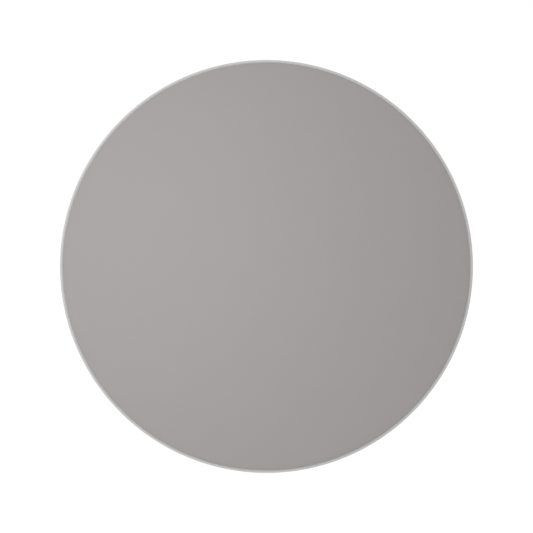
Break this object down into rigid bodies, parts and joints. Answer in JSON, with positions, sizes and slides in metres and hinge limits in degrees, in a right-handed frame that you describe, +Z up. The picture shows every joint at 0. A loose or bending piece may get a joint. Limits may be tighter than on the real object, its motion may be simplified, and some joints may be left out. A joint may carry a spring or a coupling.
{
  "type": "collapsible backdrop panel",
  "caption": "Round pop-up cloth backdrop: a spring-steel hoop in a bound edge holds the cloth taut and twist-folds into a small coil; a webbing loop at the top rear hangs it.",
  "frame": {"origin": "centre of the disc, midway between its two cloths", "axes": "-Y out of the front cloth, towards the viewer; +X to the viewer's right; +Z up, towards the hanging loop"},
  "size_m": [1.4999, 0.0168, 1.5],
  "materials": {
    "spring_steel": "cold-rolled, lightly oiled",
    "front_cloth": "plain matt weave, warm grey",
    "rear_cloth": "plain matt weave, warm grey",
    "binding_tape": "ribbed polyester tape, pale grey",
    "seam_thread": "twisted polyester thread",
    "plated_steel": "zinc plated",
    "wrap_tape": "cotton tape",
    "webbing": "woven polypropylene webbing",
    "webbing_thread": "bonded nylon thread",
    "label_cloth": "satin ribbon, blank"
  },
  "bodies": {
    "panel_top": {"hoop_top": "spring_steel", "front_cloth": "front_cloth", "rear_cloth": "rear_cloth", "edge_binding": "binding_tape", "front_stitching": "seam_thread", "rear_stitching": "seam_thread", "hang_loop_tab": "webbing", "hang_loop_bartacks": "webbing_thread"},
    "hoop_right_01": {"hoop_right_01": "spring_steel"},
    "hoop_right_02": {"hoop_right_02": "spring_steel"},
    "hoop_right_03": {"hoop_right_03": "spring_steel"},
    "hoop_right_04": {"hoop_right_04": "spring_steel"},
    "hoop_right_05": {"hoop_right_05": "spring_steel"},
    "hoop_right_06": {"hoop_right_06": "spring_steel"},
    "hoop_right_07": {"hoop_right_07": "spring_steel"},
    "hoop_right_08": {"hoop_right_08": "spring_steel"},
    "hoop_right_09": {"hoop_right_09": "spring_steel"},
    "hoop_right_10": {"hoop_right_10": "spring_steel"},
    "hoop_right_11": {"hoop_right_11": "spring_steel"},
    "hoop_right_12": {"hoop_right_12": "spring_steel"},
    "hoop_right_13": {"hoop_right_13": "spring_steel"},
    "hoop_right_14": {"hoop_right_14": "spring_steel"},
    "hoop_right_15": {"hoop_right_15": "spring_steel"},
    "hoop_right_16": {"hoop_right_16": "spring_steel"},
    "hoop_right_17": {"hoop_right_17": "spring_steel"},
    "hoop_right_18": {"hoop_right_18": "spring_steel"},
    "hoop_right_19": {"hoop_right_19": "spring_steel"},
    "hoop_right_20": {"hoop_right_20": "spring_steel"},
    "hoop_right_21": {"hoop_right_21": "spring_steel"},
    "hoop_right_22": {"hoop_right_22": "spring_steel", "splice_rivet_right": "plated_steel"},
    "hoop_left_01": {"hoop_left_01": "spring_steel"},
    "hoop_left_02": {"hoop_left_02": "spring_steel"},
    "hoop_left_03": {"hoop_left_03": "spring_steel"},
    "hoop_left_04": {"hoop_left_04": "spring_steel"},
    "hoop_left_05": {"hoop_left_05": "spring_steel"},
    "hoop_left_06": {"hoop_left_06": "spring_steel"},
    "hoop_left_07": {"hoop_left_07": "spring_steel"},
    "hoop_left_08": {"hoop_left_08": "spring_steel"},
    "hoop_left_09": {"hoop_left_09": "spring_steel"},
    "hoop_left_10": {"hoop_left_10": "spring_steel"},
    "hoop_left_11": {"hoop_left_11": "spring_steel"},
    "hoop_left_12": {"hoop_left_12": "spring_steel"},
    "hoop_left_13": {"hoop_left_13": "spring_steel"},
    "hoop_left_14": {"hoop_left_14": "spring_steel"},
    "hoop_left_15": {"hoop_left_15": "spring_steel"},
    "hoop_left_16": {"hoop_left_16": "spring_steel"},
    "hoop_left_17": {"hoop_left_17": "spring_steel"},
    "hoop_left_18": {"hoop_left_18": "spring_steel"},
    "hoop_left_19": {"hoop_left_19": "spring_steel"},
    "hoop_left_20": {"hoop_left_20": "spring_steel", "care_label": "label_cloth", "label_stitching": "seam_thread"},
    "hoop_left_21": {"hoop_left_21": "spring_steel"},
    "hoop_left_22": {"hoop_left_22": "spring_steel", "splice_sleeve": "plated_steel", "splice_rivet_left": "plated_steel", "splice_wrap": "wrap_tape"},
    "hang_loop": {"hang_loop": "webbing"}
  },
  "joints": [
    {"name": "collapse", "type": "hinge", "parent": "panel_top", "child": "hoop_right_01", "pos_m": [0.05207, 0, 0.74468], "axis": [-0.0202, 0.9998, 0.0014], "range_deg": [0, 16.36], "stiffness_Nm_per_rad": 1.12, "springref_deg": -27.32, "deforming": ["hoop_top", "hoop_right_01", "hoop_right_02", "hoop_right_03", "hoop_right_04", "hoop_right_05", "hoop_right_06", "hoop_right_07", "hoop_right_08", "hoop_right_09", "hoop_right_10", "hoop_right_11", "hoop_right_12", "hoop_right_13", "hoop_right_14", "hoop_right_15", "hoop_right_16", "hoop_right_17", "hoop_right_18", "hoop_right_19", "hoop_right_20", "hoop_right_21", "hoop_right_22", "hoop_left_01", "hoop_left_02", "hoop_left_03", "hoop_left_04", "hoop_left_05", "hoop_left_06", "hoop_left_07", "hoop_left_08", "hoop_left_09", "hoop_left_10", "hoop_left_11", "hoop_left_12", "hoop_left_13", "hoop_left_14", "hoop_left_15", "hoop_left_16", "hoop_left_17", "hoop_left_18", "hoop_left_19", "hoop_left_20", "hoop_left_21", "hoop_left_22", "front_cloth", "rear_cloth", "edge_binding", "front_stitching", "rear_stitching"]},
    {"name": "fold_right_02", "type": "hinge", "parent": "hoop_right_01", "child": "hoop_right_02", "pos_m": [0.15521, 0, 0.73019], "axis": [-0.0198, 0.9998, 0.0042], "range_deg": [0, 16.36], "stiffness_Nm_per_rad": 1.12, "springref_deg": -20.96},
    {"name": "fold_right_03", "type": "hinge", "parent": "hoop_right_02", "child": "hoop_right_03", "pos_m": [0.25532, 0, 0.70148], "axis": [-0.019, 0.9998, 0.0069], "range_deg": [0, 16.36], "stiffness_Nm_per_rad": 1.12, "springref_deg": -15.07},
    {"name": "fold_right_04", "type": "hinge", "parent": "hoop_right_03", "child": "hoop_right_04", "pos_m": [0.35046, 0, 0.65912], "axis": [-0.0179, 0.9998, 0.0095], "range_deg": [0, 16.36], "stiffness_Nm_per_rad": 1.12, "springref_deg": -9.75},
    {"name": "fold_right_05", "type": "hinge", "parent": "hoop_right_04", "child": "hoop_right_05", "pos_m": [0.43878, 0, 0.60393], "axis": [-0.0164, 0.9998, 0.0119], "range_deg": [0, 16.36], "stiffness_Nm_per_rad": 1.12, "springref_deg": -5.06},
    {"name": "fold_right_06", "type": "hinge", "parent": "hoop_right_05", "child": "hoop_right_06", "pos_m": [0.51856, 0, 0.53699], "axis": [-0.0146, 0.9998, 0.0141], "range_deg": [0, 16.36], "stiffness_Nm_per_rad": 1.12, "springref_deg": -1.05},
    {"name": "fold_right_07", "type": "hinge", "parent": "hoop_right_06", "child": "hoop_right_07", "pos_m": [0.58825, 0, 0.45959], "axis": [-0.0125, 0.9998, 0.016], "range_deg": [0, 16.36], "stiffness_Nm_per_rad": 1.12, "springref_deg": 2.25},
    {"name": "fold_right_08", "type": "hinge", "parent": "hoop_right_07", "child": "hoop_right_08", "pos_m": [0.64649, 0, 0.37325], "axis": [-0.0101, 0.9998, 0.0175], "range_deg": [0, 16.36], "stiffness_Nm_per_rad": 1.12, "springref_deg": 4.84},
    {"name": "fold_right_09", "type": "hinge", "parent": "hoop_right_08", "child": "hoop_right_09", "pos_m": [0.69214, 0, 0.27964], "axis": [-0.0076, 0.9998, 0.0188], "range_deg": [0, 16.36], "stiffness_Nm_per_rad": 1.12, "springref_deg": 6.74},
    {"name": "fold_right_10", "type": "hinge", "parent": "hoop_right_09", "child": "hoop_right_10", "pos_m": [0.72433, 0, 0.1806], "axis": [-0.0049, 0.9998, 0.0196], "range_deg": [0, 16.36], "stiffness_Nm_per_rad": 1.12, "springref_deg": 7.99},
    {"name": "fold_right_11", "type": "hinge", "parent": "hoop_right_10", "child": "hoop_right_11", "pos_m": [0.74241, 0, 0.07803], "axis": [-0.0021, 0.9998, 0.0201], "range_deg": [0, 16.36], "stiffness_Nm_per_rad": 1.12, "springref_deg": 8.65},
    {"name": "fold_right_12", "type": "hinge", "parent": "hoop_right_11", "child": "hoop_right_12", "pos_m": [0.74604, 0, -0.02605], "axis": [0.0007, 0.9998, 0.0202], "range_deg": [0, 16.36], "stiffness_Nm_per_rad": 1.12, "springref_deg": 8.77},
    {"name": "fold_right_13", "type": "hinge", "parent": "hoop_right_12", "child": "hoop_right_13", "pos_m": [0.73516, 0, -0.12963], "axis": [0.0035, 0.9998, 0.0199], "range_deg": [0, 16.36], "stiffness_Nm_per_rad": 1.12, "springref_deg": 8.45},
    {"name": "fold_right_14", "type": "hinge", "parent": "hoop_right_13", "child": "hoop_right_14", "pos_m": [0.70996, 0, -0.23068], "axis": [0.0063, 0.9998, 0.0193], "range_deg": [0, 16.36], "stiffness_Nm_per_rad": 1.12, "springref_deg": 7.76},
    {"name": "fold_right_15", "type": "hinge", "parent": "hoop_right_14", "child": "hoop_right_15", "pos_m": [0.67095, 0, -0.32724], "axis": [0.0089, 0.9998, 0.0182], "range_deg": [0, 16.36], "stiffness_Nm_per_rad": 1.12, "springref_deg": 6.81},
    {"name": "fold_right_16", "type": "hinge", "parent": "hoop_right_15", "child": "hoop_right_16", "pos_m": [0.61888, 0, -0.41744], "axis": [0.0113, 0.9998, 0.0168], "range_deg": [0, 16.36], "stiffness_Nm_per_rad": 1.12, "springref_deg": 5.7},
    {"name": "fold_right_17", "type": "hinge", "parent": "hoop_right_16", "child": "hoop_right_17", "pos_m": [0.55476, 0, -0.49951], "axis": [0.0135, 0.9998, 0.015], "range_deg": [0, 16.36], "stiffness_Nm_per_rad": 1.12, "springref_deg": 4.5},
    {"name": "fold_right_18", "type": "hinge", "parent": "hoop_right_17", "child": "hoop_right_18", "pos_m": [0.47984, 0, -0.57185], "axis": [0.0155, 0.9998, 0.013], "range_deg": [0, 16.36], "stiffness_Nm_per_rad": 1.12, "springref_deg": 3.32},
    {"name": "fold_right_19", "type": "hinge", "parent": "hoop_right_18", "child": "hoop_right_19", "pos_m": [0.39559, 0, -0.63307], "axis": [0.0172, 0.9998, 0.0107], "range_deg": [0, 16.36], "stiffness_Nm_per_rad": 1.12, "springref_deg": 2.23},
    {"name": "fold_right_20", "type": "hinge", "parent": "hoop_right_19", "child": "hoop_right_20", "pos_m": [0.30363, 0, -0.68196], "axis": [0.0185, 0.9998, 0.0082], "range_deg": [0, 16.36], "stiffness_Nm_per_rad": 1.12, "springref_deg": 1.3},
    {"name": "fold_right_21", "type": "hinge", "parent": "hoop_right_20", "child": "hoop_right_21", "pos_m": [0.20576, 0, -0.71758], "axis": [0.0195, 0.9998, 0.0056], "range_deg": [0, 16.36], "stiffness_Nm_per_rad": 1.12, "springref_deg": 0.6},
    {"name": "fold_right_22", "type": "hinge", "parent": "hoop_right_21", "child": "hoop_right_22", "pos_m": [0.10389, 0, -0.73923], "axis": [0.02, 0.9998, 0.0028], "range_deg": [0, 16.36], "stiffness_Nm_per_rad": 1.12, "springref_deg": 0.15},
    {"name": "fold_left_01", "type": "hinge", "parent": "panel_top", "child": "hoop_left_01", "pos_m": [-0.05207, 0, 0.74468], "axis": [0.0202, -0.9998, 0.0014], "range_deg": [0, 16.36], "stiffness_Nm_per_rad": 1.12, "springref_deg": -27.25},
    {"name": "fold_left_02", "type": "hinge", "parent": "hoop_left_01", "child": "hoop_left_02", "pos_m": [-0.15521, 0, 0.73019], "axis": [0.0198, -0.9998, 0.0042], "range_deg": [0, 16.36], "stiffness_Nm_per_rad": 1.12, "springref_deg": -20.73},
    {"name": "fold_left_03", "type": "hinge", "parent": "hoop_left_02", "child": "hoop_left_03", "pos_m": [-0.25532, 0, 0.70148], "axis": [0.019, -0.9998, 0.0069], "range_deg": [0, 16.36], "stiffness_Nm_per_rad": 1.12, "springref_deg": -14.68},
    {"name": "fold_left_04", "type": "hinge", "parent": "hoop_left_03", "child": "hoop_left_04", "pos_m": [-0.35046, 0, 0.65912], "axis": [0.0179, -0.9998, 0.0095], "range_deg": [0, 16.36], "stiffness_Nm_per_rad": 1.12, "springref_deg": -9.21},
    {"name": "fold_left_05", "type": "hinge", "parent": "hoop_left_04", "child": "hoop_left_05", "pos_m": [-0.43878, 0, 0.60393], "axis": [0.0164, -0.9998, 0.0119], "range_deg": [0, 16.36], "stiffness_Nm_per_rad": 1.12, "springref_deg": -4.38},
    {"name": "fold_left_06", "type": "hinge", "parent": "hoop_left_05", "child": "hoop_left_06", "pos_m": [-0.51856, 0, 0.53699], "axis": [0.0146, -0.9998, 0.0141], "range_deg": [0, 16.36], "stiffness_Nm_per_rad": 1.12, "springref_deg": -0.25},
    {"name": "fold_left_07", "type": "hinge", "parent": "hoop_left_06", "child": "hoop_left_07", "pos_m": [-0.58825, 0, 0.45959], "axis": [0.0125, -0.9998, 0.016], "range_deg": [0, 16.36], "stiffness_Nm_per_rad": 1.12, "springref_deg": 3.17},
    {"name": "fold_left_08", "type": "hinge", "parent": "hoop_left_07", "child": "hoop_left_08", "pos_m": [-0.64649, 0, 0.37325], "axis": [0.0101, -0.9998, 0.0175], "range_deg": [0, 16.36], "stiffness_Nm_per_rad": 1.12, "springref_deg": 5.86},
    {"name": "fold_left_09", "type": "hinge", "parent": "hoop_left_08", "child": "hoop_left_09", "pos_m": [-0.69214, 0, 0.27964], "axis": [0.0076, -0.9998, 0.0188], "range_deg": [0, 16.36], "stiffness_Nm_per_rad": 1.12, "springref_deg": 7.83},
    {"name": "fold_left_10", "type": "hinge", "parent": "hoop_left_09", "child": "hoop_left_10", "pos_m": [-0.72433, 0, 0.1806], "axis": [0.0049, -0.9998, 0.0196], "range_deg": [0, 16.36], "stiffness_Nm_per_rad": 1.12, "springref_deg": 9.13},
    {"name": "fold_left_11", "type": "hinge", "parent": "hoop_left_10", "child": "hoop_left_11", "pos_m": [-0.74241, 0, 0.07803], "axis": [0.0021, -0.9998, 0.0201], "range_deg": [0, 16.36], "stiffness_Nm_per_rad": 1.12, "springref_deg": 9.81},
    {"name": "fold_left_12", "type": "hinge", "parent": "hoop_left_11", "child": "hoop_left_12", "pos_m": [-0.74604, 0, -0.02605], "axis": [-0.0007, -0.9998, 0.0202], "range_deg": [0, 16.36], "stiffness_Nm_per_rad": 1.12, "springref_deg": 9.94},
    {"name": "fold_left_13", "type": "hinge", "parent": "hoop_left_12", "child": "hoop_left_13", "pos_m": [-0.73516, 0, -0.12963], "axis": [-0.0035, -0.9998, 0.0199], "range_deg": [0, 16.36], "stiffness_Nm_per_rad": 1.12, "springref_deg": 9.6},
    {"name": "fold_left_14", "type": "hinge", "parent": "hoop_left_13", "child": "hoop_left_14", "pos_m": [-0.70996, 0, -0.23068], "axis": [-0.0063, -0.9998, 0.0193], "range_deg": [0, 16.36], "stiffness_Nm_per_rad": 1.12, "springref_deg": 8.88},
    {"name": "fold_left_15", "type": "hinge", "parent": "hoop_left_14", "child": "hoop_left_15", "pos_m": [-0.67095, 0, -0.32724], "axis": [-0.0089, -0.9998, 0.0182], "range_deg": [0, 16.36], "stiffness_Nm_per_rad": 1.12, "springref_deg": 7.86},
    {"name": "fold_left_16", "type": "hinge", "parent": "hoop_left_15", "child": "hoop_left_16", "pos_m": [-0.61888, 0, -0.41744], "axis": [-0.0113, -0.9998, 0.0168], "range_deg": [0, 16.36], "stiffness_Nm_per_rad": 1.12, "springref_deg": 6.66},
    {"name": "fold_left_17", "type": "hinge", "parent": "hoop_left_16", "child": "hoop_left_17", "pos_m": [-0.55476, 0, -0.49951], "axis": [-0.0135, -0.9998, 0.015], "range_deg": [0, 16.36], "stiffness_Nm_per_rad": 1.12, "springref_deg": 5.36},
    {"name": "fold_left_18", "type": "hinge", "parent": "hoop_left_17", "child": "hoop_left_18", "pos_m": [-0.47984, 0, -0.57185], "axis": [-0.0155, -0.9998, 0.013], "range_deg": [0, 16.36], "stiffness_Nm_per_rad": 1.12, "springref_deg": 4.06},
    {"name": "fold_left_19", "type": "hinge", "parent": "hoop_left_18", "child": "hoop_left_19", "pos_m": [-0.39559, 0, -0.63307], "axis": [-0.0172, -0.9998, 0.0107], "range_deg": [0, 16.36], "stiffness_Nm_per_rad": 1.12, "springref_deg": 2.84},
    {"name": "fold_left_20", "type": "hinge", "parent": "hoop_left_19", "child": "hoop_left_20", "pos_m": [-0.30363, 0, -0.68196], "axis": [-0.0185, -0.9998, 0.0082], "range_deg": [0, 16.36], "stiffness_Nm_per_rad": 1.12, "springref_deg": 1.77},
    {"name": "fold_left_21", "type": "hinge", "parent": "hoop_left_20", "child": "hoop_left_21", "pos_m": [-0.20576, 0, -0.71758], "axis": [-0.0195, -0.9998, 0.0056], "range_deg": [0, 16.36], "stiffness_Nm_per_rad": 1.12, "springref_deg": 0.91},
    {"name": "fold_left_22", "type": "hinge", "parent": "hoop_left_21", "child": "hoop_left_22", "pos_m": [-0.10389, 0, -0.73923], "axis": [-0.02, -0.9998, 0.0028], "range_deg": [0, 16.36], "stiffness_Nm_per_rad": 1.12, "springref_deg": 0.31},
    {"name": "hang_loop_flip", "type": "hinge", "parent": "panel_top", "child": "hang_loop", "pos_m": [0, 0.00365, 0.7365], "axis": [1, 0, 0], "range_deg": [0, 145]}
  ],
  "couplings": [
    {"joint": "fold_right_02", "follows": "collapse", "ratio": 1},
    {"joint": "fold_right_03", "follows": "collapse", "ratio": 1},
    {"joint": "fold_right_04", "follows": "collapse", "ratio": 1},
    {"joint": "fold_right_05", "follows": "collapse", "ratio": 1},
    {"joint": "fold_right_06", "follows": "collapse", "ratio": 1},
    {"joint": "fold_right_07", "follows": "collapse", "ratio": 1},
    {"joint": "fold_right_08", "follows": "collapse", "ratio": 1},
    {"joint": "fold_right_09", "follows": "collapse", "ratio": 1},
    {"joint": "fold_right_10", "follows": "collapse", "ratio": 1},
    {"joint": "fold_right_11", "follows": "collapse", "ratio": 1},
    {"joint": "fold_right_12", "follows": "collapse", "ratio": 1},
    {"joint": "fold_right_13", "follows": "collapse", "ratio": 1},
    {"joint": "fold_right_14", "follows": "collapse", "ratio": 1},
    {"joint": "fold_right_15", "follows": "collapse", "ratio": 1},
    {"joint": "fold_right_16", "follows": "collapse", "ratio": 1},
    {"joint": "fold_right_17", "follows": "collapse", "ratio": 1},
    {"joint": "fold_right_18", "follows": "collapse", "ratio": 1},
    {"joint": "fold_right_19", "follows": "collapse", "ratio": 1},
    {"joint": "fold_right_20", "follows": "collapse", "ratio": 1},
    {"joint": "fold_right_21", "follows": "collapse", "ratio": 1},
    {"joint": "fold_right_22", "follows": "collapse", "ratio": 1},
    {"joint": "fold_left_01", "follows": "collapse", "ratio": 1},
    {"joint": "fold_left_02", "follows": "collapse", "ratio": 1},
    {"joint": "fold_left_03", "follows": "collapse", "ratio": 1},
    {"joint": "fold_left_04", "follows": "collapse", "ratio": 1},
    {"joint": "fold_left_05", "follows": "collapse", "ratio": 1},
    {"joint": "fold_left_06", "follows": "collapse", "ratio": 1},
    {"joint": "fold_left_07", "follows": "collapse", "ratio": 1},
    {"joint": "fold_left_08", "follows": "collapse", "ratio": 1},
    {"joint": "fold_left_09", "follows": "collapse", "ratio": 1},
    {"joint": "fold_left_10", "follows": "collapse", "ratio": 1},
    {"joint": "fold_left_11", "follows": "collapse", "ratio": 1},
    {"joint": "fold_left_12", "follows": "collapse", "ratio": 1},
    {"joint": "fold_left_13", "follows": "collapse", "ratio": 1},
    {"joint": "fold_left_14", "follows": "collapse", "ratio": 1},
    {"joint": "fold_left_15", "follows": "collapse", "ratio": 1},
    {"joint": "fold_left_16", "follows": "collapse", "ratio": 1},
    {"joint": "fold_left_17", "follows": "collapse", "ratio": 1},
    {"joint": "fold_left_18", "follows": "collapse", "ratio": 1},
    {"joint": "fold_left_19", "follows": "collapse", "ratio": 1},
    {"joint": "fold_left_20", "follows": "collapse", "ratio": 1},
    {"joint": "fold_left_21", "follows": "collapse", "ratio": 1},
    {"joint": "fold_left_22", "follows": "collapse", "ratio": 1}
  ]
}
